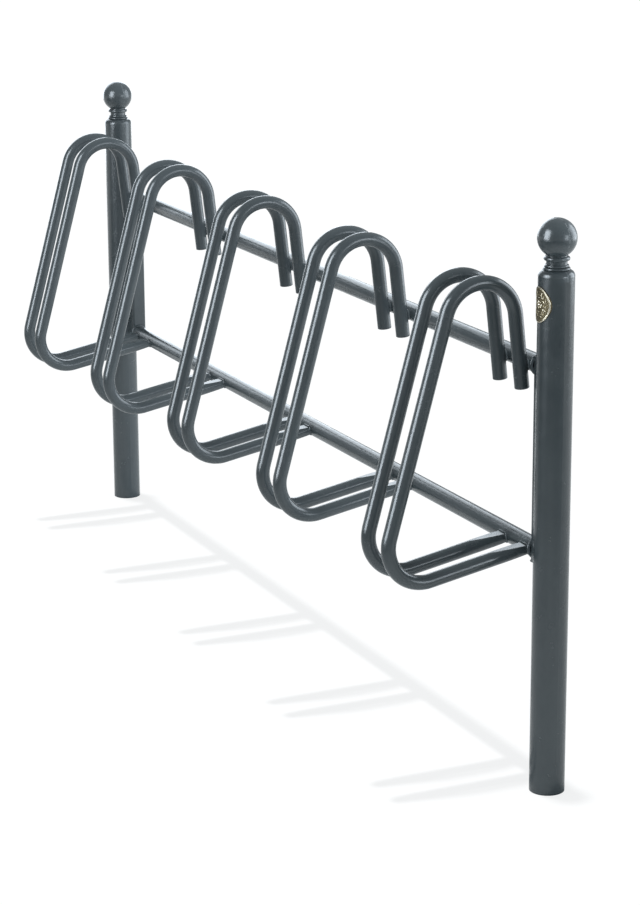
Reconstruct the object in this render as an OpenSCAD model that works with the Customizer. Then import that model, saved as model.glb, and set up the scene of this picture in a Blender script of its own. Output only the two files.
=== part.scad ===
// Floor bike rack: two posts with ball finials carry two rails, and the rails carry
// pairs of bent hoop tubes. A wheel stands between the two tubes of a pair.
// X runs along the rails, the hoops stand out towards -Y and Z is up from the floor.
// Points of a hoop are given in its side view, as [distance behind the post axes, height].

/* [Posts] */
// Outer diameter of a post
post_od = 60; // [54:1:76]
// Wall of a post
post_wall = 3; // [2:0.5:5]
// Height of a post's tube, from the floor to the seat of its finial
post_h = 876; // [800:1:1000]
// Distance between the axes of the two posts
post_spacing = 2000; // [1600:10:2400]

/* [Finials] */
// Diameter of the ball
ball_d = 65; // [60:1:72]
// Height of the ball's centre above the post's tube
ball_rise = 67.5; // [66:0.5:76]
// Diameter over the ring under the ball
ring_d = 43; // [40:0.5:50]
// Thickness of the ring under the ball
ring_t = 7.5; // [6:0.5:9]
// Height of the ring's middle above the post's tube
ring_rise = 34.5; // [33:0.5:36]
// Diameter of the neck under the ring
neck_d = 34.5; // [30:0.5:37]
// Diameter over the upper bead of the neck
bead_d = 40; // [38:0.5:42]
// Thickness of each bead of the neck
bead_t = 4.6; // [4:0.2:5]
// Height of the upper bead's middle above the post's tube
bead_rise = 22.6; // [21.6:0.1:25]
// Step between the two beads, outwards and down
bead_step = 4.4; // [4:0.1:5]
// Height of the straight rim that sits on the post's tube
rim_h = 6.5; // [3:0.5:8]
// Radius of the round shoulder above the rim
shoulder_r = 9.5; // [8:0.5:10.5]
// Depth of the finial's spigot inside the post
spigot_h = 25; // [15:1:40]
// Wall of the spigot
spigot_wall = 4; // [3:0.5:6]

/* [Rails] */
// Outer diameter of a rail
rail_od = 32; // [28:1:36]
// Wall of a rail
rail_wall = 2.6; // [1.6:0.2:3.6]
// Height of the lower rail's axis
low_rail_z = 405; // [390:1:420]
// Height of the upper rail's axis
top_rail_z = 720; // [700:1:740]
// Distance of the rails' axes behind the axes of the posts
rail_set_back = 13; // [8:0.5:16]

/* [Uprights] */
// Width of the box section that joins each rail end to its post, along the rack
upright_w = 40; // [30:1:50]
// Depth of that box section, front to back
upright_d = 30; // [25:1:35]
// Wall of the box section
upright_wall = 3; // [2:0.5:4]
// Outer corner radius of the box section
upright_corner_r = 4; // [3.5:0.25:6]
// How far the front face of the box section stands behind the post axes
upright_set_back = 0; // [-4:0.5:4]
// Thickness of the plates that close the box section
end_plate_t = 3; // [2:0.5:5]
// How far the lower plate stands below the lower rail
upright_below = 6; // [2:0.5:12]

/* [Hoops] */
// Number of hoops, each a pair of tubes
hoop_count = 5; // [3:1:6]
// Outer diameter of a hoop tube
hoop_od = 25; // [22:0.5:27]
// Wall of a hoop tube
hoop_wall = 2; // [1.5:0.1:3]
// Clear width for the tyre between the two tubes of a pair
tyre_gap = 50; // [35:1:65]
// Clearance between the outermost tubes and the uprights
end_gap = 4; // [4:0.5:40]
// Bending radius of the tubes, on their axis
bend_r = 65; // [55:1:72]
// Height of the hoops' top
hoop_top = 875; // [860:1:900]
// Lean of the front legs from upright, in degrees
front_lean = 15.5; // [12:0.5:18]
// Slant of the tails from upright, in degrees
tail_slant = 6.5; // [3:0.5:9]
// Rise of the bottom legs towards the lower rail, in degrees
foot_rise = 10.5; // [6:0.5:14]
// Length of the tails below the axis of the upper rail
tail_below = 38; // [28:1:60]
// Length over which a bottom leg is pressed flat towards the rail
pinch_len = 62; // [40:1:80]
// Thickness of a bottom leg where it meets the rail
pinch_t = 13; // [10:0.5:16]

/* [Plugs] */
// Thickness of the head of a tube plug
plug_head_t = 2.5; // [1.5:0.5:4]
// Radius of the rounded rim of the head
plug_round = 1.2; // [0.5:0.1:1.4]
// Length of the plug inside the tube
plug_h = 14; // [8:1:20]
// Wall of the plug's skirt
plug_wall = 1.5; // [1:0.1:2]

/* [Badge] */
// Height of the oval badge
badge_h = 59; // [50:1:66]
// Width of the badge, measured straight across the post
badge_w = 45; // [40:0.5:46]
// Radius of the badge's top and bottom ends
badge_end_r = 17; // [15:0.5:19]
// Distance of the badge's middle below the top of the post's tube
badge_drop = 38.5; // [36:0.5:120]
// How far the badge's field stands out of the post
badge_field_t = 1.2; // [0.8:0.1:2]
// How far the badge's rim stands out of its field
badge_rim_t = 1; // [0.5:0.1:2]
// Width of the badge's rim
badge_rim_w = 2; // [1.5:0.1:4]

/* [Welds] */
// Size of the weld beads, from the seam outwards
weld = 3; // [2:0.2:3.4]
// Root gap left between two pieces that are welded
weld_root = 0.3; // [0.2:0.05:0.5]
// Radius of the weld pads behind the tails
pad_r = 9; // [6:0.5:10]
// Length of the weld stitches between a post and its upright
stitch_len = 30; // [15:1:45]
// Distance of the stitches' middles from the axes of the rails
stitch_in = 52; // [40:1:70]

/* [Hidden] */
$fn = 96;
tube_sides = ["left", "right"];

paint = "#3f484d";
fit_gap = 0.3;
overrun = 1;
lap = 1;
lap_step = 0.1;

post_r = post_od / 2;
badge_z = post_h - badge_drop;
rail_r = rail_od / 2;
hoop_r = hoop_od / 2;
pair_half = (tyre_gap + hoop_od) / 2;

// The upright stands beside the post, and the rails run between the two inner faces.
upright_face = post_spacing / 2 - post_r - upright_w;
upright_back = upright_set_back + upright_d;
upright_top = top_rail_z + rail_r;
upright_bottom = low_rail_z - rail_r - upright_below;
outer_hoop_x = upright_face - end_gap - hoop_r - pair_half;
hoop_pitch = 2 * outer_hoop_x / (hoop_count - 1);

// The tail touches the front of the upper rail, but for the root of its weld.
low_rail = [rail_set_back, low_rail_z];
top_rail = [rail_set_back, top_rail_z];
tail_off = rail_r + weld_root + hoop_r;
tail_touch = top_rail - tail_off * along(tail_slant);
arch = meet(tail_touch - bend_r * along(tail_slant), along(90 + tail_slant),
            [0, hoop_top - hoop_r - bend_r], along(0));
corner = meet(arch, along(90 - front_lean), low_rail + bend_r * along(90 + foot_rise), along(foot_rise));
arch_front = arch + bend_r * along(180 - front_lean);
arch_back = arch + bend_r * along(tail_slant);
corner_front = corner + bend_r * along(180 - front_lean);
corner_foot = corner + bend_r * along(foot_rise - 90);
tail_end = meet(arch_back, along(90 + tail_slant), [0, top_rail_z - tail_below], along(0));

// The origin is under the middle of the whole rack.
front_y = corner.x - bend_r - hoop_r;
back_y = max(post_r, ball_d / 2, upright_back, rail_set_back + rail_r);
mid_y = (front_y + back_y) / 2;

// Unit vector of the side view, turned up from the backward direction.
function along(a) = [cos(a), sin(a)];
function turn(a, b) = a.x * b.y - a.y * b.x;
// Where the line through p along u meets the line through q along v.
function meet(p, u, q, v) = p + u * turn(q - p, v) / turn(u, v);
// The point a lap beyond q, on the way from p.
function past(p, q) = q + lap * (q - p) / norm(q - p);
function hoop_x(i) = (i - 1) * hoop_pitch - outer_hoop_x;
function side_sign(side) = side == "left" ? -1 : 1;
function tube_x(i, side) = hoop_x(i) + side_sign(side) * pair_half;

// Moves a child from the frame of the posts to the frame of the rack.
module placed() {
    translate([0, -mid_y, 0]) children();
}

// Puts a shape drawn in the side view at its place: its Z axis lies along X.
module side_view(x) {
    translate([x, 0, 0]) rotate([90, 0, 90]) children();
}

// Round bar in the side view from point p to point q.
module bar(p, q, r) {
    d = q - p;
    translate([p.x, p.y, 0]) rotate([0, 0, atan2(d.y, d.x)]) rotate([0, 90, 0])
        cylinder(h = norm(d), r = r);
}

// Bend in the side view about point c, from angle a through angle da.
module bend(c, a, da, r) {
    translate([c.x, c.y, 0]) rotate_extrude(angle = da, start = a)
        translate([bend_r, 0]) circle(r = r);
}

// Round bar along the rack, from x0 to x1, through a point of the side view.
module cross_bar(x0, x1, p, r) {
    translate([x0, p.x, p.y]) rotate([0, 90, 0]) cylinder(h = x1 - x0, r = r);
}

// Full bars of both rails, a little larger by grow: the space that the rails take.
module rail_space(grow) {
    for (p = [low_rail, top_rail]) cross_bar(-upright_face, upright_face, p, rail_r + grow);
}

module post(side) {
    color(paint) placed() translate([side_sign(side) * post_spacing / 2, 0, 0])
        difference() {
            cylinder(h = post_h, r = post_r);
            translate([0, 0, -overrun]) cylinder(h = post_h + 2 * overrun, r = post_r - post_wall);
        }
}

// Half outline of the casting: rim and round shoulder, neck with two beads, ring and ball.
module finial_outline() {
    shoulder_z = rim_h + shoulder_r;
    square([post_r, rim_h]);
    square([post_r - shoulder_r, shoulder_z]);
    intersection() {
        translate([post_r - shoulder_r, rim_h]) circle(r = shoulder_r);
        square([post_r, shoulder_z]);
    }
    square([neck_d / 2, ball_rise]);
    for (k = [0, 1])
        translate([(bead_d - bead_t) / 2 + k * bead_step / 2, bead_rise - k * bead_step])
            circle(r = bead_t / 2);
    for (k = [0, 1])
        translate([0, bead_rise - k * bead_step - bead_t / 2])
            square([(bead_d - bead_t) / 2 + k * bead_step / 2, bead_t]);
    translate([(ring_d - ring_t) / 2, ring_rise]) circle(r = ring_t / 2);
    translate([0, ring_rise - ring_t / 2]) square([(ring_d - ring_t) / 2, ring_t]);
    intersection() {
        translate([0, ball_rise]) circle(r = ball_d / 2);
        square([ball_d, ball_rise + ball_d]);
    }
}

module finial(side) {
    spigot_r = post_r - post_wall - fit_gap;
    color(paint) placed() translate([side_sign(side) * post_spacing / 2, 0, post_h])
        difference() {
            union() {
                rotate_extrude() finial_outline();
                translate([0, 0, -spigot_h]) cylinder(h = spigot_h + overrun, r = spigot_r);
            }
            translate([0, 0, -spigot_h - overrun])
                cylinder(h = spigot_h + rim_h + overrun, r = spigot_r - spigot_wall);
        }
}

// Oval of four arcs: two ends of radius end_r, and two flatter sides that run into them.
module oval(w, h, end_r) {
    end_z = h / 2 - end_r;
    side_r = (w * w / 4 - end_r * end_r + end_z * end_z) / (w - 2 * end_r);
    side_x = side_r - w / 2;
    join_z = end_z * side_r / (side_r - end_r);
    for (s = [-1, 1]) translate([0, s * end_z]) circle(r = end_r);
    intersection() {
        translate([side_x, 0]) circle(r = side_r);
        translate([-side_x, 0]) circle(r = side_r);
        translate([-w / 2, -join_z]) square([w, 2 * join_z]);
    }
}

// Part of a sleeve round the post, between two thicknesses over it, in the child's outline.
module post_sleeve(inner_t, outer_t) {
    intersection() {
        difference() {
            translate([0, 0, badge_z - badge_h]) cylinder(h = 2 * badge_h, r = post_r + outer_t);
            translate([0, 0, badge_z - badge_h - overrun])
                cylinder(h = 2 * (badge_h + overrun), r = post_r + inner_t);
        }
        translate([0, 0, badge_z]) rotate([90, 0, 0]) linear_extrude(height = post_od) children();
    }
}

module badge() {
    color("#9a8048") placed() translate([post_spacing / 2, 0, 0]) {
        post_sleeve(0, badge_field_t) oval(badge_w, badge_h, badge_end_r);
        post_sleeve(0, badge_field_t + badge_rim_t) difference() {
            oval(badge_w, badge_h, badge_end_r);
            oval(badge_w - 2 * badge_rim_w, badge_h - 2 * badge_rim_w, badge_end_r - badge_rim_w);
        }
    }
}

// Outline of the upright seen from above, pulled in by inset, for the post at +X.
module upright_outline(inset) {
    r = upright_corner_r - inset;
    translate([upright_face + inset, upright_set_back + inset]) {
        w = upright_w - 2 * inset;
        d = upright_d - 2 * inset;
        translate([r, 0]) square([w - 2 * r, d]);
        translate([0, r]) square([w, d - 2 * r]);
        for (x = [r, w - r], y = [r, d - r]) translate([x, y]) circle(r = r);
    }
}

// Mirrors a child made for the post at +X to the other post where side is left.
module on_side(side) {
    mirror([side == "left" ? 1 : 0, 0, 0]) children();
}

module upright(side) {
    h = upright_top - upright_bottom - 2 * end_plate_t;
    color(paint) placed() on_side(side) translate([0, 0, upright_bottom + end_plate_t])
        linear_extrude(height = h) difference() {
            upright_outline(0);
            upright_outline(upright_wall);
        }
}

// Plates that close the ends of the uprights and reach to the posts.
module upright_end_plates() {
    color(paint) placed()
        for (side = tube_sides, z = [upright_bottom, upright_top - end_plate_t])
            on_side(side) translate([0, 0, z]) linear_extrude(height = end_plate_t)
                difference() {
                    translate([upright_face, upright_set_back])
                        square([upright_w + post_r, upright_d]);
                    translate([post_spacing / 2, 0]) circle(r = post_r + weld_root);
                    translate([post_spacing / 2, -post_r]) square([post_od, 2 * post_od]);
                }
}

module rail(p) {
    color(paint) placed() difference() {
        cross_bar(-upright_face, upright_face, p, rail_r);
        cross_bar(-upright_face - overrun, upright_face + overrun, p, rail_r - rail_wall);
    }
}

// Wedge that the bottom leg fits into where it is pressed flat, thick t at the rail.
module pinch_wedge(t) {
    reach = norm(low_rail - corner_foot);
    open_t = t + (hoop_od - pinch_t) * reach / pinch_len;
    translate([low_rail.x, low_rail.y, -hoop_od]) rotate([0, 0, foot_rise])
        linear_extrude(height = 2 * hoop_od) polygon([
            [-rail_r - reach, -open_t / 2],
            [-rail_r - reach, open_t / 2],
            [-rail_r, t / 2],
            [0, t / 2],
            [0, -t / 2],
            [-rail_r, -t / 2]
        ]);
}

// Everything of a hoop tube as solid bars of radius r, with the pressed foot thick t.
// The straight runs lap into the bends, a hair thinner, so that all join as one.
module hoop_bars(r, t, open_end) {
    run_r = r - lap_step;
    bar(open_end ? past(arch_back, tail_end) : tail_end, past(tail_end, arch_back), run_r);
    bend(arch, tail_slant, 180 - front_lean - tail_slant, r);
    bar(past(corner_front, arch_front), past(arch_front, corner_front), run_r);
    bend(corner, 180 - front_lean, 90 + front_lean + foot_rise, r);
    intersection() {
        bar(past(low_rail, corner_foot), low_rail, run_r);
        pinch_wedge(t);
    }
}

module hoop_tube(i, side) {
    color(paint) placed() difference() {
        side_view(tube_x(i, side)) difference() {
            hoop_bars(hoop_r, pinch_t, false);
            hoop_bars(hoop_r - hoop_wall, pinch_t - 2 * hoop_wall, true);
        }
        rail_space(weld_root);
    }
}

// Plug of a tail: a head with a rounded rim, and a skirt inside the tube.
module hoop_plug() {
    skirt_r = hoop_r - hoop_wall - fit_gap;
    difference() {
        union() {
            translate([0, 0, plug_round]) cylinder(h = plug_head_t - plug_round, r = hoop_r);
            cylinder(h = plug_head_t, r = hoop_r - plug_round);
            translate([0, 0, plug_round]) rotate_extrude()
                translate([hoop_r - plug_round, 0]) circle(r = plug_round);
            cylinder(h = plug_head_t + plug_h, r = skirt_r);
        }
        translate([0, 0, plug_head_t]) cylinder(h = plug_h + overrun, r = skirt_r - plug_wall);
    }
}

module hoop_plugs() {
    color(paint) placed()
        for (i = [1 : hoop_count], side = tube_sides)
            side_view(tube_x(i, side)) translate([tail_end.x, tail_end.y, 0])
                rotate([0, 0, 90 + tail_slant]) rotate([0, 90, 0])
                    translate([0, 0, -plug_head_t]) hoop_plug();
}

// Weld pad between the front of the upper rail and each tail.
module tail_welds() {
    color(paint) placed()
        for (i = [1 : hoop_count], side = tube_sides) difference() {
            side_view(tube_x(i, side))
                bar(tail_touch, top_rail - rail_r / 2 * along(tail_slant), pad_r);
            side_view(tube_x(i, side))
                bar(tail_end, arch_back, hoop_r);
            rail_space(0);
        }
}

// Weld collar round each pressed foot, on the front of the lower rail.
module foot_welds() {
    color(paint) placed()
        for (i = [1 : hoop_count], side = tube_sides) difference() {
            side_view(tube_x(i, side)) difference() {
                foot_weld_space(0);
                intersection() {
                    bar(corner_foot, low_rail, hoop_r);
                    pinch_wedge(pinch_t);
                }
            }
            rail_space(0);
        }
}

// Space that a foot's weld takes in the side view, a little larger by grow.
module foot_weld_space(grow) {
    reach = weld + grow;
    intersection() {
        bar(corner_foot, low_rail, hoop_r + reach);
        pinch_wedge(pinch_t + 2 * reach);
        translate([low_rail.x, low_rail.y, -hoop_od])
            cylinder(h = 2 * hoop_od, r = rail_r + reach);
    }
}

// Weld bead round each rail end, as far as the face of the upright reaches.
module rail_end_welds() {
    margin = weld / 2;
    color(paint) placed()
        for (side = tube_sides, p = [low_rail, top_rail]) on_side(side) difference() {
            intersection() {
                translate([upright_face - weld, p.x, p.y]) rotate([0, 90, 0])
                    rotate_extrude() polygon([
                        [rail_r, 0],
                        [rail_r, weld],
                        [rail_r + weld, weld]
                    ]);
                translate([upright_face - weld, upright_set_back - margin, upright_bottom - margin])
                    cube([weld, upright_d + 2 * margin, upright_top - upright_bottom + 2 * margin]);
            }
            side_view(outer_hoop_x + pair_half) foot_weld_space(weld_root);
        }
}

// Short weld stitches in the front groove between each post and its upright.
module stitch_welds() {
    color(paint) placed()
        for (side = tube_sides) on_side(side) difference() {
            for (z = [low_rail_z + stitch_in, top_rail_z - stitch_in])
                translate([post_spacing / 2 - post_r, upright_set_back, z - stitch_len / 2])
                    intersection() {
                        cylinder(h = stitch_len, r = 2 * weld);
                        translate([-post_r, -post_r, 0])
                            cube([post_od, post_r + upright_corner_r, stitch_len]);
                    }
            post_space();
            linear_extrude(height = post_h) upright_outline(0);
        }
}

// The space that the post at +X takes.
module post_space() {
    translate([post_spacing / 2, 0, 0]) cylinder(h = post_h, r = post_r);
}

for (side = tube_sides) {
    post(side);
    finial(side);
    upright(side);
}
badge();
upright_end_plates();
rail(top_rail);  // rail_top
rail(low_rail);  // rail_bottom
for (i = [1 : hoop_count], side = tube_sides)
    hoop_tube(i, side);
hoop_plugs();
tail_welds();
foot_welds();
rail_end_welds();
stitch_welds();
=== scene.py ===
"""Looks of a floor bike rack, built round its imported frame.

Two posts with ball finials carry two rails, and the rails carry five pairs of bent hoop tubes.
Sizes are in metres in the frame's own axes: X along the rails, hoops towards -Y, Z up from the floor.
"""

import logging
import math
from collections.abc import Callable, Iterable
from dataclasses import dataclass, field
from enum import Enum

import bmesh
import bpy
from mathutils import Matrix, Vector


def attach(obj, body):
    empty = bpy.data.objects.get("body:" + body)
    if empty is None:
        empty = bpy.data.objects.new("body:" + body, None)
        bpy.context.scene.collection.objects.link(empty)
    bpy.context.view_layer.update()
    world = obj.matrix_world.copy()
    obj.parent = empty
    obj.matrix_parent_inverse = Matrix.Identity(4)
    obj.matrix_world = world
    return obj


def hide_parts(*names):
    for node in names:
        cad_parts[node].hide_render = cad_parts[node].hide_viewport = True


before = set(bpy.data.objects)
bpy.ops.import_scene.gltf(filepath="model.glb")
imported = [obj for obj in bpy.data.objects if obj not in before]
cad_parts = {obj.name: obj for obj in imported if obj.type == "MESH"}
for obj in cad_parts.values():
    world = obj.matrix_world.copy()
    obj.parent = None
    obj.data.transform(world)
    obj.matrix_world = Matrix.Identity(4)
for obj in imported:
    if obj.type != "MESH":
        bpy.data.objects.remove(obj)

LOG = logging.getLogger("bike_rack")
Colour = tuple[float, float, float, float]
Point = tuple[float, float, float]
Size = tuple[float, float, float]
Verts = list[bmesh.types.BMVert]
Edges = list[bmesh.types.BMEdge]
AXIS_X = Vector((1.0, 0.0, 0.0))
AXIS_Z = Vector((0.0, 0.0, 1.0))


def picked(geometry: Iterable[object], kind: type) -> list:
    """The elements of one kind in an operator's result."""
    return [part for part in geometry if isinstance(part, kind)]


class Slot(Enum):
    """Material slots of the record."""

    STEEL = "painted_steel"
    CASTING = "painted_casting"
    WELD = "painted_weld"
    PLUG = "plug_plastic"
    BRASS = "badge_brass"


class Side(Enum):
    """Which tube of a hoop, or which end of the rack, seen from the front."""

    LEFT = -1
    RIGHT = 1

    @property
    def word(self) -> str:
        """The side's name as the frame's nodes spell it."""
        return self.name.lower()


class NodeSketch:
    """A node material under construction, with a Principled shader at its end."""

    def __init__(self, name: str) -> None:
        """Starts an empty material.

        Args:
            name: The material's name.
        """
        self.material = bpy.data.materials.new(name)
        self.material.use_nodes = True
        self.tree = self.material.node_tree
        self.tree.nodes.clear()
        self.output = self.tree.nodes.new("ShaderNodeOutputMaterial")
        self.shader = self.tree.nodes.new("ShaderNodeBsdfPrincipled")
        self.link(self.shader.outputs["BSDF"], self.output.inputs["Surface"])

    def node(self, kind: str, inputs: dict[str | int, object] | None = None,
             **settings: object) -> bpy.types.Node:
        """Adds a node.

        Args:
            kind: Blender's type name of the node.
            inputs: Values or sockets for its inputs, by name or index.
            **settings: Values for the node's own properties.

        Returns:
            The new node.
        """
        made = self.tree.nodes.new(kind)
        for key, value in settings.items():
            setattr(made, key, value)
        for key, value in (inputs or {}).items():
            self.put(value, made.inputs[key])
        return made

    def link(self, source: bpy.types.NodeSocket, target: bpy.types.NodeSocket) -> None:
        """Joins two sockets."""
        self.tree.links.new(source, target)

    def put(self, value: object, target: bpy.types.NodeSocket) -> None:
        """Gives an input a value, or links a socket to it.

        Args:
            value: The value or the socket.
            target: The input.
        """
        if isinstance(value, bpy.types.NodeSocket):
            self.link(value, target)
        else:
            target.default_value = value

    def place(self, centre: Vector | None = None) -> bpy.types.NodeSocket:
        """Object coordinates, counted from a centre.

        Args:
            centre: The point that becomes the origin, or None for the rack's own.

        Returns:
            The vector socket.
        """
        coords = self.node("ShaderNodeTexCoord").outputs["Object"]
        if centre is None:
            return coords
        shifted = self.node("ShaderNodeMapping", {"Vector": coords, "Location": tuple(-centre)})
        return shifted.outputs["Vector"]

    def noise(self, place: bpy.types.NodeSocket, scale: float, detail: float = 2.0,
              rough: float = 0.5) -> bpy.types.NodeSocket:
        """Noise in space.

        Args:
            place: The coordinates to read.
            scale: Cells per metre.
            detail: Octaves.
            rough: How strong the finer octaves are.

        Returns:
            The factor socket.
        """
        made = self.node("ShaderNodeTexNoise", {"Vector": place, "Scale": scale, "Detail": detail,
                                                "Roughness": rough})
        return made.outputs["Fac"]

    def spread(self, value: bpy.types.NodeSocket, low: float, high: float, out_low: float,
               out_high: float) -> bpy.types.NodeSocket:
        """Maps a value from one range to another, held at its ends.

        Args:
            value: The value's socket.
            low: The value that gives out_low.
            high: The value that gives out_high.
            out_low: The result at low.
            out_high: The result at high.

        Returns:
            The result's socket.
        """
        made = self.node("ShaderNodeMapRange", {"Value": value, "From Min": low, "From Max": high,
                                                "To Min": out_low, "To Max": out_high})
        return made.outputs["Result"]

    def blend(self, share: bpy.types.NodeSocket, first: object, second: object) -> bpy.types.NodeSocket:
        """Mixes two colours.

        Args:
            share: The second colour's share.
            first: A colour or a socket.
            second: A colour or a socket.

        Returns:
            The mixed colour's socket.
        """
        made = self.node("ShaderNodeMix", {0: share, 6: first, 7: second}, data_type="RGBA")
        return made.outputs[2]

    def math(self, operation: str, *values: object) -> bpy.types.NodeSocket:
        """One step of arithmetic on sockets or numbers."""
        made = self.node("ShaderNodeMath", dict(enumerate(values)), operation=operation)
        return made.outputs["Value"]

    def bump(self, height: bpy.types.NodeSocket, strength: float, distance: float,
             under: bpy.types.NodeSocket | None = None) -> bpy.types.NodeSocket:
        """Bends the shading normal by a height.

        Args:
            height: The height socket, from 0 to 1.
            strength: How much of the bend is used.
            distance: The height in metres that 1 stands for.
            under: A normal that is bent already.

        Returns:
            The normal's socket.
        """
        inputs = {"Height": height, "Strength": strength, "Distance": distance}
        if under is not None:
            inputs["Normal"] = under
        return self.node("ShaderNodeBump", inputs).outputs["Normal"]

    def finish(self, **sockets: object) -> bpy.types.Material:
        """Sets the shader's sockets, with an underscore for each space in their names.

        Args:
            **sockets: Values, or sockets to link.

        Returns:
            The material.
        """
        for key, value in sockets.items():
            self.put(value, self.shader.inputs[key.replace("_", " ")])
        return self.material


@dataclass(frozen=True)
class RackPaint:
    """Semi-gloss anthracite paint over smooth steel tube."""

    name: str = "rack_paint"
    colour: Colour = (0.0460, 0.0585, 0.0645, 1.0)
    faded: Colour = (0.0560, 0.0700, 0.0760, 1.0)
    dust: Colour = (0.10, 0.11, 0.11, 1.0)
    gloss_low: float = 0.19
    gloss_high: float = 0.29
    peel_scale: float = 420.0
    peel_height: float = 0.00010
    lump_scale: float = 55.0
    lump_height: float = 0.0004
    lump_strength: float = 0.35
    peel_strength: float = 0.3
    patch_scale: float = 7.0
    grain_scale: float = 260.0
    gloss_scale: float = 34.0
    dust_share: float = 0.2
    # Pale colour of the parting line: worn paint and a painted highlight.
    bare: Colour = (0.15, 0.175, 0.185, 1.0)
    seam_core: float = 0.0004
    seam_edge: float = 0.0016
    seam_scale: float = 170.0
    seam_share: float = 0.9
    streak_centre: Vector | None = None
    seam_turn: float = 0.0

    def make(self) -> bpy.types.Material:
        """Builds the paint's nodes.

        Returns:
            The material.
        """
        sketch = NodeSketch(self.name)
        place = sketch.place()
        patches = sketch.spread(sketch.noise(place, self.patch_scale, 4.0, 0.6), 0.35, 0.68, 0.0, 1.0)
        grain = sketch.spread(sketch.noise(place, self.grain_scale, 3.0, 0.6), 0.3, 0.7, 0.0, 1.0)
        tint = sketch.blend(patches, self.colour, self.faded)
        normal = sketch.node("ShaderNodeNewGeometry").outputs["Normal"]
        facing = sketch.node("ShaderNodeSeparateXYZ", {0: normal})
        upward = sketch.spread(facing.outputs["Z"], 0.5, 1.0, 0.0, self.dust_share)
        tint = sketch.blend(sketch.math("MULTIPLY", upward, grain), tint, self.dust)
        # Pale parting line on the casting: worn paint and a painted highlight.
        if self.streak_centre is not None:
            tint = sketch.blend(self.seam_wear(sketch), tint, self.bare)
        gloss = sketch.spread(sketch.noise(place, self.gloss_scale, 4.0, 0.65), 0.3, 0.7,
                              self.gloss_low, self.gloss_high)
        lumps = sketch.bump(sketch.noise(place, self.lump_scale, 2.0), self.lump_strength, self.lump_height)
        peel = sketch.bump(sketch.noise(place, self.peel_scale, 2.0), self.peel_strength,
                           self.peel_height, lumps)
        return sketch.finish(Base_Color=tint, Roughness=gloss, Normal=peel, IOR=1.5,
                             Specular_IOR_Level=0.5)

    def seam_wear(self, sketch: NodeSketch) -> bpy.types.NodeSocket:
        """Pale broken line over a casting's parting line: paint worn thin there, and a painted highlight of
        the ridge.

        Args:
            sketch: The material under construction.

        Returns:
            The share of worn paint and painted highlight, from 0 to 1.
        """
        place = sketch.place(self.streak_centre)
        turned = sketch.node("ShaderNodeVectorRotate", {"Vector": place, "Angle": -self.seam_turn},
                             rotation_type="Z_AXIS")
        parts = sketch.node("ShaderNodeSeparateXYZ", {0: turned.outputs["Vector"]})
        beside = sketch.math("ABSOLUTE", parts.outputs["Y"])
        thin = sketch.spread(beside, self.seam_core, self.seam_edge, 1.0, 0.0)
        broken = sketch.spread(sketch.noise(place, self.seam_scale, 3.0, 0.7), 0.40, 0.60,
                               0.0, self.seam_share)
        return sketch.math("MULTIPLY", thin, broken)


@dataclass(frozen=True)
class PlugPlastic:
    """Matte dark grey plastic of the tube plugs."""

    name: str = "plug_plastic"
    colour: Colour = (0.026, 0.034, 0.037, 1.0)
    pale: Colour = (0.040, 0.050, 0.052, 1.0)
    tint_scale: float = 90.0
    grain_scale: float = 900.0
    grain_height: float = 0.0003
    gloss_scale: float = 120.0

    def make(self) -> bpy.types.Material:
        """Builds the moulded grain.

        Returns:
            The material.
        """
        sketch = NodeSketch(self.name)
        place = sketch.place()
        mottle = sketch.spread(sketch.noise(place, self.tint_scale, 4.0, 0.6), 0.3, 0.7, 0.0, 1.0)
        tint = sketch.blend(mottle, self.colour, self.pale)
        grain = sketch.bump(sketch.noise(place, self.grain_scale, 2.0), 0.4, self.grain_height)
        gloss = sketch.spread(sketch.noise(place, self.gloss_scale), 0.3, 0.7, 0.48, 0.6)
        return sketch.finish(Base_Color=tint, Roughness=gloss, Normal=grain, IOR=1.47)


@dataclass(frozen=True)
class AgedBrass:
    """Brass that is dark in its hollows and worn bright where it stands out of the post."""

    centre: Vector
    post_radius: float
    name: str = "aged_brass"
    bright: Colour = (0.74, 0.69, 0.58, 1.0)
    dull: Colour = (0.27, 0.225, 0.14, 1.0)
    hollow: Colour = (0.060, 0.050, 0.030, 1.0)
    field_stand: float = 0.0012
    top_stand: float = 0.0024
    speck_scale: float = 520.0
    speck_share: float = 0.4
    hammer_scale: float = 700.0
    hammer_height: float = 0.0002

    def make(self) -> bpy.types.Material:
        """Builds the metal, whose colour follows its distance from the post's axis.

        Returns:
            The material.
        """
        sketch = NodeSketch(self.name)
        place = sketch.place(self.centre)
        parts = sketch.node("ShaderNodeSeparateXYZ", {0: place})
        flat = sketch.node("ShaderNodeCombineXYZ", {"X": parts.outputs["X"],
                                                    "Y": parts.outputs["Y"]})
        reach = sketch.node("ShaderNodeVectorMath", {0: flat.outputs["Vector"]}, operation="LENGTH")
        raised = sketch.spread(reach.outputs["Value"], self.post_radius + self.field_stand,
                               self.post_radius + self.top_stand, 0.0, 1.0)
        speck = sketch.spread(sketch.noise(place, self.speck_scale, 4.0, 0.7), 0.35, 0.65,
                              -self.speck_share, self.speck_share)
        mixed = sketch.math("ADD", raised, speck)
        worn = sketch.node("ShaderNodeClamp", {"Value": mixed}).outputs["Result"]
        low = sketch.blend(sketch.spread(worn, 0.0, 0.6, 0.0, 1.0), self.hollow, self.dull)
        tint = sketch.blend(sketch.spread(worn, 0.6, 1.0, 0.0, 1.0), low, self.bright)
        gloss = sketch.spread(worn, 0.0, 1.0, 0.55, 0.26)
        hammered = sketch.bump(sketch.noise(place, self.hammer_scale, 2.0), 0.35, self.hammer_height)
        return sketch.finish(Base_Color=tint, Metallic=1.0, Roughness=gloss, Normal=hammered)


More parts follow.
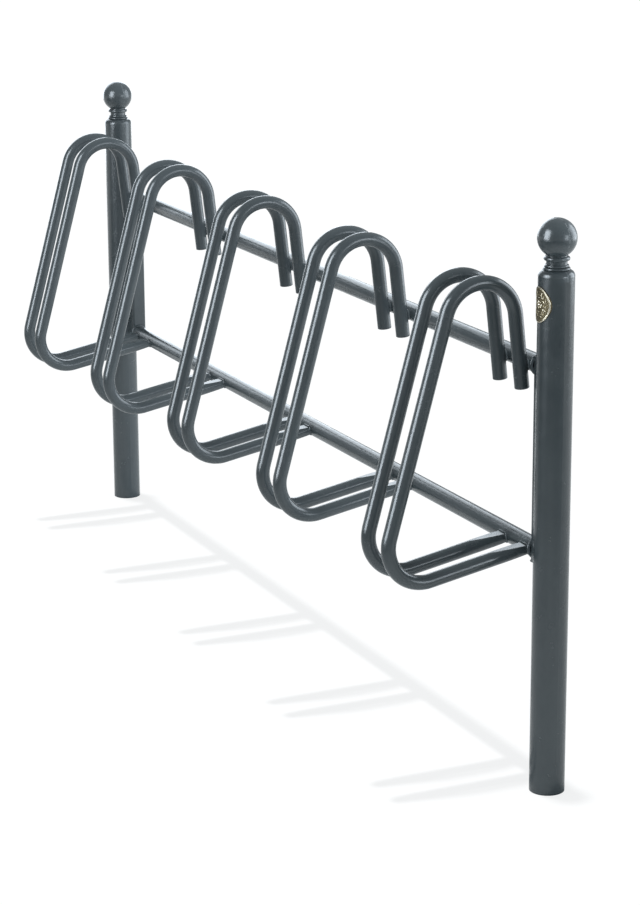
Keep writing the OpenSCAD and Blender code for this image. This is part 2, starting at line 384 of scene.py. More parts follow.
class MeshWork:
    """A bmesh that ends as one piece of the rack."""

    SHARP_ANGLE = math.radians(34.0)
    MERGE_DISTANCE = 1e-6

    def __init__(self, name: str) -> None:
        """Starts an empty mesh for the piece of that name."""
        self.name = name
        self.bm = bmesh.new()

    def ring(self, centre: Vector, along: Vector, radius: float, segments: int,
             up: Vector | None = None) -> Edges:
        """Makes a circle across a direction.

        Args:
            centre: The circle's middle.
            along: The direction that it stands across.
            radius: Its radius.
            segments: Its number of edges.
            up: A direction in the circle's plane for its first vertex.

        Returns:
            The circle's edges.
        """
        side = (up or AXIS_X).normalized()
        normal = along.normalized()
        turn = Matrix((side, normal.cross(side), normal)).transposed().to_4x4()
        made = bmesh.ops.create_circle(self.bm, cap_ends=False, segments=segments, radius=radius,
                                       matrix=Matrix.Translation(centre) @ turn)
        verts = set(made["verts"])
        return [e for e in self.bm.edges if e.verts[0] in verts and e.verts[1] in verts]

    @staticmethod
    def rim_verts(edges: Edges) -> Verts:
        """The vertices of a rim, each once and always in the same order."""
        return list(dict.fromkeys(v for e in edges for v in e.verts))

    def carry(self, edges: Edges, move: Vector) -> Edges:
        """Extrudes an open rim by a straight move.

        Args:
            edges: The rim.
            move: The way that it goes.

        Returns:
            The new rim.
        """
        made = bmesh.ops.extrude_edge_only(self.bm, edges=edges)["geom"]
        verts = picked(made, bmesh.types.BMVert)
        bmesh.ops.translate(self.bm, vec=move, verts=verts)
        return picked(made, bmesh.types.BMEdge)

    def swing(self, edges: Edges, centre: Vector, axis: Vector, angle: float,
              steps: int) -> Edges:
        """Spins an open rim round an axis.

        Args:
            edges: The rim.
            centre: A point of the axis.
            axis: The axis's direction.
            angle: The turn in radians.
            steps: How many runs of faces it takes.

        Returns:
            The last rim.
        """
        made = bmesh.ops.spin(self.bm, geom=self.rim_verts(edges) + edges, cent=centre, axis=axis,
                              angle=angle, steps=steps, use_merge=False, use_normal_flip=False,
                              use_duplicate=False)
        return picked(made["geom_last"], bmesh.types.BMEdge)

    def cap(self, edges: Edges) -> None:
        """Closes an open rim with a face."""
        bmesh.ops.contextual_create(self.bm, geom=edges)

    def bead(self, path: list[Vector], radii: list[float], closed: bool, segments: int = 8) -> None:
        """Sweeps a round bead of changing thickness along a path.

        Args:
            path: The bead's middle line.
            radii: Its radius at each point.
            closed: Whether it runs back into its start.
            segments: Edges round the bead.
        """
        count = len(path)
        heading = [((path[(i + 1) % count] if closed or i + 1 < count else path[i])
                    - (path[i - 1] if closed or i else path[i])).normalized() for i in range(count)]
        rim = self.ring(path[0], heading[0], radii[0], segments, heading[0].orthogonal())
        first = rim
        for i in range(1, count):
            made = bmesh.ops.extrude_edge_only(self.bm, edges=rim)["geom"]
            turn = heading[i - 1].rotation_difference(heading[i]).to_matrix().to_4x4()
            move = (Matrix.Translation(path[i]) @ turn @ Matrix.Scale(radii[i] / radii[i - 1], 4)
                    @ Matrix.Translation(-path[i - 1]))
            verts = picked(made, bmesh.types.BMVert)
            bmesh.ops.transform(self.bm, matrix=move, verts=verts)
            rim = picked(made, bmesh.types.BMEdge)
        if closed:
            bmesh.ops.bridge_loops(self.bm, edges=first + rim)
        else:
            self.cap(first)
            self.cap(rim)

    def blob(self, centre: Vector, size: Size, turn: float = 0.0, detail: int = 2) -> None:
        """Adds a rounded lump, turned round its third axis.

        Args:
            centre: Its middle.
            size: Its half sizes.
            turn: Its turn in radians.
            detail: How finely its ball is divided.
        """
        shape = Matrix.Translation(centre) @ Matrix.Rotation(turn, 4, "Z") @ Matrix.Diagonal((*size, 1.0))
        bmesh.ops.create_icosphere(self.bm, subdivisions=detail, radius=1.0, matrix=shape)

    def piece(self, slot: Slot, material: bpy.types.Material, replaced: Iterable[str] = (),
              sharp_angle: float = SHARP_ANGLE) -> bpy.types.Object:
        """Turns the work into a closed, smooth shaded piece that rides on the rack.

        Args:
            slot: The record's material slot; not used here.
            material: The finish.
            replaced: CAD nodes that this piece stands for.
            sharp_angle: The angle from which an edge is shaded sharp.

        Returns:
            The new object, which sits at the origin.
        """
        bmesh.ops.remove_doubles(self.bm, verts=self.bm.verts[:], dist=self.MERGE_DISTANCE)
        bmesh.ops.recalc_face_normals(self.bm, faces=self.bm.faces[:])
        for face in self.bm.faces:
            face.smooth = True
        for edge in self.bm.edges:
            if len(edge.link_faces) == 2 and edge.calc_face_angle(0.0) > sharp_angle:
                edge.smooth = False
        mesh = bpy.data.meshes.new(self.name)
        self.bm.to_mesh(mesh)
        self.bm.free()
        mesh.materials.append(material)
        made = bpy.data.objects.new(self.name, mesh)
        bpy.context.scene.collection.objects.link(made)
        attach(made, "root")
        if replaced:
            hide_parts(*replaced)
        LOG.info("%s: %d faces", self.name, len(mesh.polygons))
        return made


def dress(names: Iterable[str], material: bpy.types.Material) -> None:
    """Gives CAD nodes a finish.

    Args:
        names: The nodes.
        material: Their new material.
    """
    for name in names:
        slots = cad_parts[name].data.materials
        slots.clear()
        slots.append(material)
        LOG.info("%s dressed in %s", name, material.name)


@dataclass(frozen=True)
class RackPlan:
    """Sizes that all parts of the rack share."""

    post_x: float = 1.0
    axis_y: float = 0.118126
    post_radius: float = 0.030
    rail_y: float = 0.131126
    rail_radius: float = 0.016
    low_rail: float = 0.405
    top_rail: float = 0.720
    rail_end_x: float = 0.930
    hoop_pitch: float = 0.438
    pair_half: float = 0.0375
    hoops: int = 5

    def hoop_x(self, number: int, side: Side) -> float:
        """Place along the rack of a hoop's tube.

        Args:
            number: The hoop, from 1 at the left.
            side: Which of its two tubes.

        Returns:
            The X of the tube's plane.
        """
        middle = (number - (self.hoops + 1) / 2) * self.hoop_pitch
        return middle + side.value * self.pair_half

    def tubes(self) -> Iterable[tuple[int, Side, float]]:
        """All hoop tubes in order.

        Yields:
            The hoop's number, the tube's side and its X.
        """
        for number in range(1, self.hoops + 1):
            for side in Side:
                yield number, side, self.hoop_x(number, side)


@dataclass
class HoopTubes:
    """Ten bent tubes, each with a foot that is pressed flat against the lower rail."""

    plan: RackPlan
    radius: float = 0.0125
    bend: float = 0.065
    arch: tuple[float, float] = (0.027889, 0.7975)
    corner: tuple[float, float] = (-0.073126, 0.433251)
    tail_end: tuple[float, float] = (0.106469, 0.682)
    lean: float = math.radians(15.5)
    slant: float = math.radians(6.5)
    rise: float = math.radians(10.5)
    pinch_length: float = 0.062
    pinch_thickness: float = 0.0155
    pinch_spread: float = 0.12
    pinch_steps: int = 18
    pinch_run_out: float = 0.004
    sunk: float = 0.006
    segments: int = 48
    bend_step: float = math.radians(3.5)

    def side_point(self, x: float, at: tuple[float, float]) -> Vector:
        """A point of the side view, [Y, Z], at a tube's X."""
        return Vector((x, *at))

    def ray(self, angle: float) -> Vector:
        """Unit vector of the side view, turned up from +Y."""
        return Vector((0.0, math.cos(angle), math.sin(angle)))

    def foot(self, work: MeshWork, x: float) -> Edges:
        """Makes the pressed foot, from inside the rail out to the corner's bend.

        Args:
            work: The tube's mesh.
            x: The tube's plane.

        Returns:
            The rim at the bend.
        """
        along = self.ray(self.rise)
        rail = Vector((x, self.plan.rail_y, self.plan.low_rail))
        inner = self.plan.rail_radius - self.sunk
        pinch_end = self.plan.rail_radius + self.pinch_length
        rim = work.ring(rail - along * inner, -along, self.radius, self.segments)
        work.cap(rim)
        for _ in range(self.pinch_steps):
            rim = work.carry(rim, -along * (pinch_end + self.pinch_run_out - inner) / self.pinch_steps)
        across = along.cross(AXIS_X).normalized()
        half = self.pinch_thickness / 2
        slope = (self.radius - half) / self.pinch_length
        for sign in (-1, 1):
            normal = (across * sign + along * slope).normalized()
            point = rail - along * self.plan.rail_radius + across * sign * half
            whole = work.bm.verts[:] + work.bm.edges[:] + work.bm.faces[:]
            cut = bmesh.ops.bisect_plane(work.bm, geom=whole, dist=1e-7, plane_co=point,
                                         plane_no=normal, clear_outer=True)
            edges = picked(cut["geom_cut"], bmesh.types.BMEdge)
            bmesh.ops.holes_fill(work.bm, edges=edges, sides=0)
            for edge in edges:
                edge.smooth = False
        for vert in work.bm.verts:
            reach = (rail - vert.co).dot(along) - self.plan.rail_radius
            share = min(1.0, max(0.0, 1.0 - reach / self.pinch_length))
            wider = 1.0 + self.pinch_spread * share * share * (3.0 - 2.0 * share)
            vert.co.x = x + (vert.co.x - x) * wider
        return rim

    def build(self, material: bpy.types.Material) -> None:
        """Makes and dresses all tubes.

        Args:
            material: The paint.
        """
        for number, side, x in self.plan.tubes():
            node = f"hoop_{number}_{side.word}"
            work = MeshWork(f"{node}_tube")
            self.tube(work, x)
            work.piece(Slot.STEEL, material, [node])

    def tube(self, work: MeshWork, x: float) -> None:
        """Sweeps one tube from its foot round the corner and the arch to its tail.

        Args:
            work: The tube's mesh.
            x: The tube's plane.
        """
        rim = self.foot(work, x)
        corner = self.side_point(x, self.corner)
        arch = self.side_point(x, self.arch)
        corner_foot = corner + self.bend * self.ray(self.rise - math.pi / 2)
        verts = work.rim_verts(rim)
        middle = sum((v.co for v in verts), Vector()) / len(verts)
        rim = work.carry(rim, corner_foot - middle)
        turn = math.pi / 2 + self.lean + self.rise
        rim = work.swing(rim, corner, AXIS_X, -turn, round(turn / self.bend_step))
        front = self.ray(math.pi - self.lean)
        rim = work.carry(rim, (arch + self.bend * front) - (corner + self.bend * front))
        turn = math.pi - self.lean - self.slant
        rim = work.swing(rim, arch, AXIS_X, -turn, round(turn / self.bend_step))
        arch_back = arch + self.bend * self.ray(self.slant)
        rim = work.carry(rim, self.side_point(x, self.tail_end) - arch_back)
        work.cap(rim)


@dataclass
class WeldBeads:
    """Rippled weld beads that stand for the plain pads, collars, rings and stitches of the frame."""

    plan: RackPlan
    hoops: HoopTubes
    step: float = 0.0011
    ripple_length: float = 0.0031
    ripple_share: float = 0.13
    ripple_mean: float = 0.6
    waver_share: float = 0.05
    end_share: float = 0.45
    end_growth: float = 2.4
    foot_radius: float = 0.0017
    foot_stand: float = 0.0006
    foot_phases: tuple[float, float] = (0.37, 0.11)
    tail_radius: float = 0.0022
    tail_ring: float = 0.0078
    tail_inner: tuple[float, float] = (0.45, 0.9)
    tail_phases: tuple[float, float] = (0.29, 0.17)
    end_radius: float = 0.0026
    end_stand: float = 0.0005
    end_sunk: float = 0.0008
    end_phase: float = 0.2
    stitch_radius: float = 0.0031
    stitch_length: float = 0.030
    stitch_in: float = 0.052
    stitch_off_post: float = 0.0018
    stitch_forward: float = 0.0009

    def run(self, work: MeshWork, at: Callable[[float], Vector], length: float, radius: float,
            closed: bool, phase: float = 0.0) -> None:
        """Lays one bead along a curve.

        Args:
            work: The piece's mesh.
            at: The point of the curve at a share of its length, from 0 to 1.
            length: The curve's rough length.
            radius: The bead's mean radius.
            closed: Whether the curve runs back into its start.
            phase: Where its ripples begin, in turns.
        """
        count = max(8, round(length / self.step))
        shares = [i / (count if closed else count - 1) for i in range(count)]
        ripples = max(1, round(length / self.ripple_length))
        radii = []
        for share in shares:
            crest = 1.0 - abs(((share * ripples + phase) % 1.0) * 2.0 - 1.0) ** 2
            slow = math.sin(5.0 * math.tau * share + 7.0 * phase)
            end = 1.0
            if not closed:
                end = min(1.0, self.end_share + self.end_growth * min(share, 1.0 - share) * ripples / 2.0)
            swell = self.ripple_share * (crest - self.ripple_mean)
            radii.append(radius * end * (1.0 + swell + self.waver_share * slow))
        work.bead([at(share) for share in shares], radii, closed)

    def feet(self, material: bpy.types.Material) -> None:
        """Beads round the pressed feet, where they meet the lower rail.

        Args:
            material: The paint over the welds.
        """
        work = MeshWork("foot_weld_beads")
        along = self.hoops.ray(self.hoops.rise)
        across = self.hoops.ray(self.hoops.rise + math.pi / 2)
        half = self.hoops.pinch_thickness / 2
        wide = self.hoops.radius * (1.0 + self.hoops.pinch_spread)
        grow = 1.0 + self.foot_stand / half
        for number, side, x in self.plan.tubes():
            rail = Vector((x, self.plan.rail_y, self.plan.low_rail))

            def at(share: float, rail: Vector = rail) -> Vector:
                """Point of the seam round one foot.

                Args:
                    share: How far round it is, from 0 to 1.
                    rail: The rail's middle at this foot.

                Returns:
                    The point.
                """
                angle = math.tau * share
                high = max(-half, min(half, self.hoops.radius * math.sin(angle)))
                out = math.sqrt(self.plan.rail_radius ** 2 - high ** 2)
                return rail + AXIS_X * wide * math.cos(angle) + across * high * grow - along * out

            phase = number * self.foot_phases[0] + side.value * self.foot_phases[1]
            self.run(work, at, math.tau * self.hoops.radius, self.foot_radius, True, phase)
        work.piece(Slot.WELD, material, ["foot_welds"], math.pi)

    def tails(self, material: bpy.types.Material) -> None:
        """Rings between the tails and the front of the upper rail.

        Args:
            material: The paint over the welds.
        """
        work = MeshWork("tail_weld_beads")
        toward = self.hoops.ray(self.hoops.slant)
        upward = self.hoops.ray(self.hoops.slant + math.pi / 2)
        inner_ring, inner_radius = self.tail_inner
        rings = ((self.tail_ring, self.tail_radius),
                 (self.tail_ring * inner_ring, self.tail_radius * inner_radius))
        for number, side, x in self.plan.tubes():
            rail = Vector((x, self.plan.rail_y, self.plan.top_rail))
            touch = rail - toward * self.plan.rail_radius
            phase = number * self.tail_phases[0] + side.value * self.tail_phases[1]
            for ring, radius in rings:

                def at(share: float, touch: Vector = touch, ring: float = ring) -> Vector:
                    """Point of the seam round one contact, midway between the two tubes.

                    Args:
                        share: How far round it is, from 0 to 1.
                        touch: The contact.
                        ring: The seam's radius.

                    Returns:
                        The point.
                    """
                    beside = ring * math.cos(math.tau * share)
                    high = ring * math.sin(math.tau * share)
                    sag = (high ** 2 / self.plan.rail_radius - beside ** 2 / self.hoops.radius) / 4
                    return touch + AXIS_X * beside + upward * high + toward * sag

                self.run(work, at, math.tau * ring, radius, True, phase)
        work.piece(Slot.WELD, material, ["tail_welds"], math.pi)

    def rail_ends(self, material: bpy.types.Material) -> None:
        """Rings round the rail ends on the uprights.

        Args:
            material: The paint over the welds.
        """
        work = MeshWork("rail_end_weld_beads")
        ring = self.plan.rail_radius + self.end_stand
        for side in Side:
            for height in (self.plan.low_rail, self.plan.top_rail):
                middle = Vector((side.value * (self.plan.rail_end_x - self.end_sunk),
                                 self.plan.rail_y, height))

                def at(share: float, middle: Vector = middle) -> Vector:
                    """Point of the ring round one rail end."""
                    return middle + ring * self.hoops.ray(math.tau * share)

                self.run(work, at, math.tau * ring, self.end_radius, True,
                         height + side.value * self.end_phase)
        work.piece(Slot.WELD, material, ["rail_end_welds"], math.pi)

    def stitches(self, material: bpy.types.Material) -> None:
        """Short vertical beads in the groove between posts and uprights.

        Args:
            material: The paint over the welds.
        """
        work = MeshWork("stitch_weld_beads")
        for side in Side:
            for middle in (self.plan.low_rail + self.stitch_in, self.plan.top_rail - self.stitch_in):
                beside = self.plan.post_x - self.plan.post_radius - self.stitch_off_post
                foot = Vector((side.value * beside, self.plan.axis_y - self.stitch_forward,
                               middle - self.stitch_length / 2))

                def at(share: float, foot: Vector = foot) -> Vector:
                    """Point of one stitch."""
                    return foot + AXIS_Z * self.stitch_length * share

                self.run(work, at, self.stitch_length, self.stitch_radius, False, middle)
        work.piece(Slot.WELD, material, ["stitch_welds"], math.pi)

    def build(self, material: bpy.types.Material) -> None:
        """Lays all beads.

        Args:
            material: The paint over the welds.
        """
        self.feet(material)
        self.tails(material)
        self.rail_ends(material)
        self.stitches(material)


@dataclass
class CastingSeam:
    """Fine parting line that runs over the ball of a cast finial."""

    plan: RackPlan
    ball_radius: float = 0.0325
    ball_height: float = 0.9435
    thickness: float = 0.00035
    turn: float = math.radians(8.0)
    low_angle: float = math.radians(-58.0)
    points: int = 72
    segments: int = 6

    def build(self, side: Side, material: bpy.types.Material) -> None:
        """Makes the line of one finial.

        Args:
            side: Which post it is on.
            material: The casting's paint.
        """
        work = MeshWork(f"finial_{side.word}_seam")
        centre = Vector((side.value * self.plan.post_x, self.plan.axis_y, self.ball_height))
        outward = Vector((math.cos(self.turn), math.sin(self.turn), 0.0))
        sweep = math.pi - 2 * self.low_angle
        path = []
        for i in range(self.points):
            angle = self.low_angle + sweep * i / (self.points - 1)
            spoke = outward * math.cos(angle) + AXIS_Z * math.sin(angle)
            path.append(centre + self.ball_radius * spoke)
        work.bead(path, [self.thickness] * self.points, False, self.segments)
        # The crown is the top of the rack, and the line stays under it.
        for vert in work.bm.verts:
            vert.co.z = min(vert.co.z, self.ball_height + self.ball_radius)
        work.piece(Slot.CASTING, material)


@dataclass
class OvalBadge:
    """Raised ornament on the oval badge: a beaded border, two leafy sprigs and a rosette."""

    plan: RackPlan
    middle_height: float = 0.8375
    half_width: float = 0.0225
    half_height: float = 0.0295
    field_stand: float = 0.0012
    rim_width: float = 0.002
    border_beads: int = 46
    sprig_leaves: int = 7
    petals: int = 8
    wrap_limit: float = 0.98
    bead_inset: float = 0.0016
    bead_size: Size = (0.00085, 0.00085, 0.0008)
    sprig_wide: float = 0.0125
    sprig_high: float = 0.0185
    sprig_start: float = -78.0
    sprig_sweep: float = 132.0
    leaf_lean: float = 0.62
    leaf_reach: float = 0.0026
    leaf_size: Size = (0.0030, 0.0011, 0.0009)
    stem_size: Size = (0.0026, 0.0006, 0.0006)
    petal_reach: float = 0.0047
    petal_size: Size = (0.0028, 0.0014, 0.0010)
    boss_size: Size = (0.0024, 0.0024, 0.0015)
    knob_heights: tuple[float, float] = (-0.0112, 0.0118)
    knob_size: Size = (0.0017, 0.0017, 0.0010)

    def wrap(self, work: MeshWork) -> None:
        """Bends the flat ornament round the post, from [across, up, out] to its place.

        Args:
            work: The ornament's mesh.
        """
        axis = Vector((self.plan.post_x, self.plan.axis_y, self.middle_height))
        for vert in work.bm.verts:
            across, high, out = vert.co
            share = across / self.plan.post_radius
            angle = math.asin(max(-self.wrap_limit, min(self.wrap_limit, share)))
            reach = self.plan.post_radius + self.field_stand + out
            vert.co = axis + Vector((reach * math.sin(angle), -reach * math.cos(angle), high))

    def border(self, work: MeshWork) -> None:
        """Ring of small beads inside the rim.

        Args:
            work: The ornament's mesh.
        """
        wide = self.half_width - self.rim_width - self.bead_inset
        high = self.half_height - self.rim_width - self.bead_inset
        for i in range(self.border_beads):
            angle = math.tau * i / self.border_beads
            place = Vector((wide * math.cos(angle), high * math.sin(angle), 0.0))
            work.blob(place, self.bead_size, detail=1)

    def sprigs(self, work: MeshWork) -> None:
        """Two sprigs that rise from the foot of the badge and bend towards each other.

        Args:
            work: The ornament's mesh.
        """
        wide, high = self.sprig_wide, self.sprig_high
        for sign in (-1, 1):
            for i in range(self.sprig_leaves):
                degrees = self.sprig_start + self.sprig_sweep * i / (self.sprig_leaves - 1)
                angle = math.radians(degrees)
                stem = Vector((sign * wide * math.cos(angle), high * math.sin(angle), 0.0))
                heading = math.atan2(high * math.cos(angle), -sign * wide * math.sin(angle))
                for lean in (-self.leaf_lean, self.leaf_lean):
                    aim = heading + lean
                    tip = stem + self.leaf_reach * Vector((math.cos(aim), math.sin(aim), 0.0))
                    work.blob(tip, self.leaf_size, aim)
                work.blob(stem, self.stem_size, heading, 1)

    def rosette(self, work: MeshWork) -> None:
        """Rosette of petals round a boss between the sprigs, with a knob above and below.

        Args:
            work: The ornament's mesh.
        """
        for i in range(self.petals):
            angle = math.tau * i / self.petals
            out = Vector((math.cos(angle), math.sin(angle), 0.0))
            work.blob(out * self.petal_reach, self.petal_size, angle)
        work.blob(Vector((0.0, 0.0, 0.0)), self.boss_size)
        for high in self.knob_heights:
            work.blob(Vector((0.0, high, 0.0)), self.knob_size, detail=1)

    def build(self, material: bpy.types.Material) -> None:
        """Makes the ornament.

        Args:
            material: The badge's brass.
        """
        work = MeshWork("badge_ornament")
        self.border(work)
        self.sprigs(work)
        self.rosette(work)
        self.wrap(work)
        work.piece(Slot.BRASS, material, sharp_angle=math.pi)


@dataclass(frozen=True)
class SoftBox:
    """Flat lamp that only shows as a reflection. A radiance of 1 shows as white."""

    name: str
    at: Point
    aim: Point
    size: tuple[float, float]
    radiance: float


@dataclass
class Studio:
    """White floor, soft lamps and the camera at the photograph's view."""

    focal_pixels: float = 2582.957
    frame_height: int = 905
    sensor: float = 36.0
    place: Vector = field(default_factory=lambda: Vector((4.5330, -1.9280, 1.6854)))
    turn: float = math.radians(65.2636)
    down: float = math.radians(15.0729)
    roll: float = math.radians(-0.2776)
    floor_glow: float = 1.045
    floor_glow_share: float = 0.75
    floor_radius: float = 40.0
    floor_edges: int = 96
    floor_grey: Colour = (0.86, 0.86, 0.86, 1.0)
    room: tuple[Colour, float] = ((0.86, 0.95, 1.0, 1.0), 0.55)
    mirrored_room: tuple[Colour, float] = ((0.90, 0.95, 1.0, 1.0), 0.45)
    white: tuple[Colour, float] = ((1.0, 1.0, 1.0, 1.0), 1.0)
    mat_middle: Point = (2.9, -1.9, 0.004)
    mat_half: Size = (5.1, 3.6, 1.0)
    mat_grey: Colour = (0.05, 0.055, 0.06, 1.0)
    box_power: float = 4.0
    box_colour: Point = (0.84, 0.92, 1.0)
    boxes: tuple[SoftBox, ...] = (
        SoftBox("front_box", (0.7, -3.8, 2.1), (0.5, 0.1, 0.9), (2.4, 3.4), 10.5),
        SoftBox("back_box", (1.0, 4.0, 1.8), (0.6, 0.1, 0.9), (3.0, 3.5), 4.0),
        SoftBox("far_box", (-4.8, 0.7, 1.9), (0.0, 0.3, 0.7), (4.2, 3.6), 2.6),
        SoftBox("window", (4.3, 1.8, 1.3), (1.0, 0.1, 0.8), (1.4, 1.4), 5.5),
    )
    shadow_energy: float = 2.0
    shadow_angle: float = math.radians(2.2)
    shadow_toward: Point = (-0.05, -0.02, 1.0)
    fill_angle: float = math.radians(30.0)
    fill_colour: Point = (0.96, 0.95, 1.0)
    side_energy: float = 2.0
    side_toward: Point = (0.60, 0.75, 0.34)
    far_energy: float = 0.7
    far_toward: Point = (1.0, -0.12, 0.32)
    near_names: tuple[str, ...] = ("post_right", "badge", "upright_right", "hoop_5")
    middle_names: tuple[str, ...] = ("finial_right", "hoop_4", "hoop_3", "rail")

    def camera(self) -> None:
        """Places the camera and makes it the scene's."""
        data = bpy.data.cameras.new("camera")
        data.sensor_width = self.sensor
        data.lens = self.focal_pixels * self.sensor / self.frame_height
        data.clip_end = 200.0
        ahead = Vector((-math.sin(self.turn) * math.cos(self.down),
                        math.cos(self.turn) * math.cos(self.down), -math.sin(self.down)))
        level = ahead.cross(AXIS_Z).normalized()
        above = level.cross(ahead)
        right = level * math.cos(self.roll) + above * math.sin(self.roll)
        up = above * math.cos(self.roll) - level * math.sin(self.roll)
        made = bpy.data.objects.new("camera", data)
        turned = Matrix((right, up, -ahead)).transposed().to_4x4()
        made.matrix_world = Matrix.Translation(self.place) @ turned
        bpy.context.scene.collection.objects.link(made)
        bpy.context.scene.camera = made

    def lay(self, bm: bmesh.types.BMesh, name: str) -> bpy.types.Object:
        """Turns a mesh under construction into an object of the scene.

        Args:
            bm: The mesh, which is freed.
            name: The object's name.

        Returns:
            The object.
        """
        mesh = bpy.data.meshes.new(name)
        bm.to_mesh(mesh)
        bm.free()
        made = bpy.data.objects.new(name, mesh)
        bpy.context.scene.collection.objects.link(made)
        return made

    def floor(self) -> None:
        """Makes the white floor, which shows itself white and keeps the rack's shadow."""
        bm = bmesh.new()
        bmesh.ops.create_circle(bm, cap_ends=True, segments=self.floor_edges, radius=self.floor_radius)
        made = self.lay(bm, "floor")
        sketch = NodeSketch("floor_white")
        sketch.tree.nodes.remove(sketch.shader)
        matt = sketch.node("ShaderNodeBsdfDiffuse", {"Color": self.floor_grey})
        glow = sketch.node("ShaderNodeEmission", {"Color": self.white[0], "Strength": self.floor_glow})
        rays = sketch.node("ShaderNodeLightPath")
        seen = sketch.math("MAXIMUM", rays.outputs["Is Camera Ray"], rays.outputs["Is Transmission Ray"])
        share = sketch.math("MULTIPLY", seen, self.floor_glow_share)
        mixed = sketch.node("ShaderNodeMixShader", {0: share, 1: matt.outputs[0], 2: glow.outputs[0]})
        sketch.link(mixed.outputs[0], sketch.output.inputs["Surface"])
        made.data.materials.append(sketch.material)

    def background(self, tree: bpy.types.NodeTree, light: tuple[Colour, float]) -> bpy.types.Node:
        """Adds one light of the room to the world.

        Args:
            tree: The world's nodes.
            light: Its colour and its strength.

        Returns:
            The new node.
        """
        made = tree.nodes.new("ShaderNodeBackground")
        made.inputs["Color"].default_value, made.inputs["Strength"].default_value = light
        return made

    def world(self) -> None:
        """Fills the room with plain light, and shows white behind the rack."""
        world = bpy.data.worlds.new("room")
        world.use_nodes = True
        tree = world.node_tree
        tree.nodes.clear()
        room = self.background(tree, self.room)
        dim = self.background(tree, self.mirrored_room)
        white = self.background(tree, self.white)
        rays = tree.nodes.new("ShaderNodeLightPath")
        glossy = tree.nodes.new("ShaderNodeMixShader")
        mixed = tree.nodes.new("ShaderNodeMixShader")
        output = tree.nodes.new("ShaderNodeOutputWorld")
        for source, target in ((rays.outputs["Is Glossy Ray"], glossy.inputs[0]),
                               (room.outputs[0], glossy.inputs[1]), (dim.outputs[0], glossy.inputs[2]),
                               (rays.outputs["Is Camera Ray"], mixed.inputs[0]),
                               (glossy.outputs[0], mixed.inputs[1]), (white.outputs[0], mixed.inputs[2]),
                               (mixed.outputs[0], output.inputs["Surface"])):
            tree.links.new(source, target)
        bpy.context.scene.world = world

    def mat(self) -> None:
        """Lays a dark mat, soft at its edges, that only glossy surfaces see.

        It lies before the rack and at its near end, and keeps their reflections from going pale.
        """
        bm = bmesh.new()
        spot = Matrix.Translation(self.mat_middle) @ Matrix.Diagonal((*self.mat_half, 1.0))
        bmesh.ops.create_grid(bm, x_segments=1, y_segments=1, size=1.0, matrix=spot)
        made = self.lay(bm, "dark_mat")
        sketch = NodeSketch("mat_grey")
        parts = sketch.node("ShaderNodeSeparateXYZ", {0: sketch.place()})
        cover = sketch.math("MAXIMUM", sketch.spread(parts.outputs["Y"], -0.3, -2.4, 0.0, 1.0),
                            sketch.spread(parts.outputs["X"], 1.9, 3.1, 0.0, 0.95))
        sketch.finish(Base_Color=self.mat_grey, Roughness=0.9, Specular_IOR_Level=0.0, Alpha=cover)
        made.data.materials.append(sketch.material)
        made.visible_camera = False
        made.visible_diffuse = False
        made.visible_shadow = False
        made.visible_transmission = False

    def lamp(self, box: SoftBox) -> None:
        """Adds a soft box.

        Args:
            box: Its name, place, aim, size and brightness.
        """
        data = bpy.data.lights.new(box.name, "AREA")
        data.shape = "RECTANGLE"
        data.size, data.size_y = box.size
        data.energy = self.box_power * box.radiance * box.size[0] * box.size[1]
        data.color = self.box_colour
        made = bpy.data.objects.new(box.name, data)
        at = Vector(box.at)
        facing = (at - Vector(box.aim)).to_track_quat("Z", "Y").to_matrix().to_4x4()
        made.matrix_world = Matrix.Translation(at) @ facing
        made.visible_camera = False
        made.visible_diffuse = False
        bpy.context.scene.collection.objects.link(made)

    def sunlight(self, name: str, toward: Point, energy: float, angle: float) -> bpy.types.Object:
        """Adds a light from far away that shows no glint.

        Args:
            name: The light's name.
            toward: The direction from the rack to the light.
            energy: Its strength.
            angle: How wide it is, in radians.

        Returns:
            The light's object.
        """
        data = bpy.data.lights.new(name, "SUN")
        data.energy = energy
        data.angle = angle
        made = bpy.data.objects.new(name, data)
        made.rotation_euler = Vector(toward).to_track_quat("Z", "Y").to_euler()
        made.visible_glossy = False
        bpy.context.scene.collection.objects.link(made)
        return made

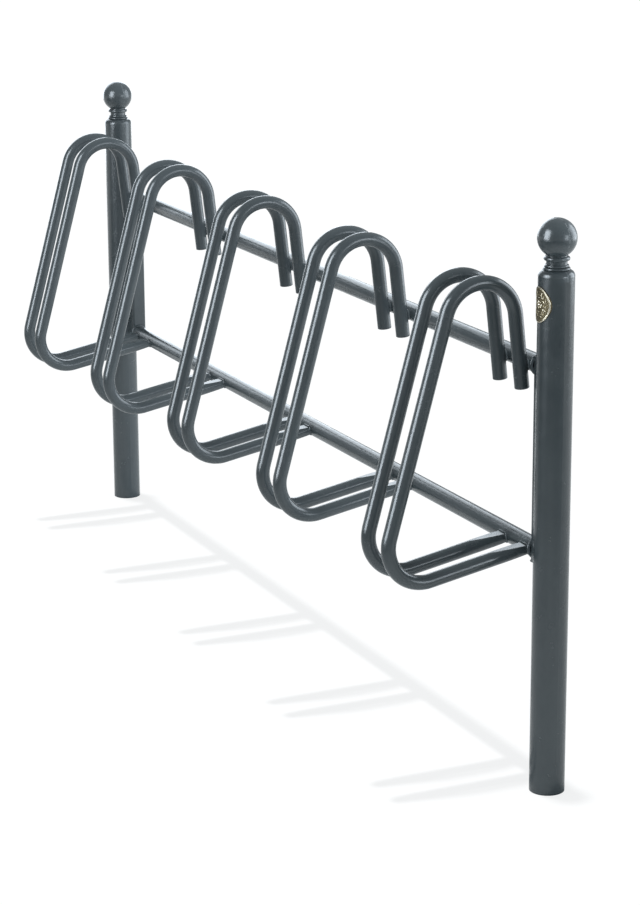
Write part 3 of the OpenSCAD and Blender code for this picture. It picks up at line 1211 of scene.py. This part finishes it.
    def fill(self, name: str, toward: Point, energy: float, lit: Iterable[bpy.types.Object]) -> None:
        """Adds a soft shadowless light that only some objects take.

        Args:
            name: The light's name.
            toward: The direction from the rack to the light.
            energy: Its strength.
            lit: The objects that it lights.
        """
        made = self.sunlight(name, toward, energy, self.fill_angle)
        made.data.color = self.fill_colour
        made.data.use_shadow = False
        takers = bpy.data.collections.new(f"lit_by_{name}")
        for one in lit:
            takers.objects.link(one)
        made.light_linking.receiver_collection = takers

    def fills(self) -> None:
        """Lifts the far parts of the rack, which the photograph shows paler than the near ones."""
        rack = [one for one in bpy.data.objects
                if one.type == "MESH" and one.name not in ("floor", "dark_mat")]
        past_near = [one for one in rack if not one.name.startswith(self.near_names)]
        past_middle = [one for one in past_near if not one.name.startswith(self.middle_names)]
        self.fill("side_fill", self.side_toward, self.side_energy, past_near)
        self.fill("far_fill", self.far_toward, self.far_energy, past_middle)

    def build(self) -> None:
        """Sets up floor, room, lamps and camera."""
        self.camera()
        self.floor()
        self.world()
        self.mat()
        self.sunlight("shadow_light", self.shadow_toward, self.shadow_energy, self.shadow_angle)
        for box in self.boxes:
            self.lamp(box)
        bpy.context.scene.view_settings.view_transform = "Standard"


def main() -> None:
    """Builds the rack's looks round the frame, piece by piece."""
    logging.basicConfig(level=logging.INFO, format="%(name)s: %(message)s")
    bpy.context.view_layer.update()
    plan = RackPlan()
    studio = Studio()
    studio.build()
    paint = RackPaint().make()
    weld = RackPaint(name="weld_paint", gloss_low=0.16, gloss_high=0.26).make()
    dress(["post_left", "post_right", "upright_left", "upright_right", "upright_end_plates", "rail_top",
           "rail_bottom"], paint)
    seam = CastingSeam(plan)
    for side in Side:
        centre = Vector((side.value * plan.post_x, plan.axis_y, 0.0))
        casting = RackPaint(name=f"casting_paint_{side.word}", lump_height=0.0006, peel_height=0.0003,
                            streak_centre=centre, seam_turn=seam.turn).make()
        dress([f"finial_{side.word}"], casting)
        seam.build(side, casting)
    dress(["hoop_plugs"], PlugPlastic().make())
    brass = AgedBrass(Vector((plan.post_x, plan.axis_y, 0.0)), plan.post_radius).make()
    dress(["badge"], brass)
    OvalBadge(plan).build(brass)
    hoops = HoopTubes(plan)
    hoops.build(paint)
    WeldBeads(plan, hoops).build(weld)
    studio.fills()


if __name__ == "__main__":
    main()
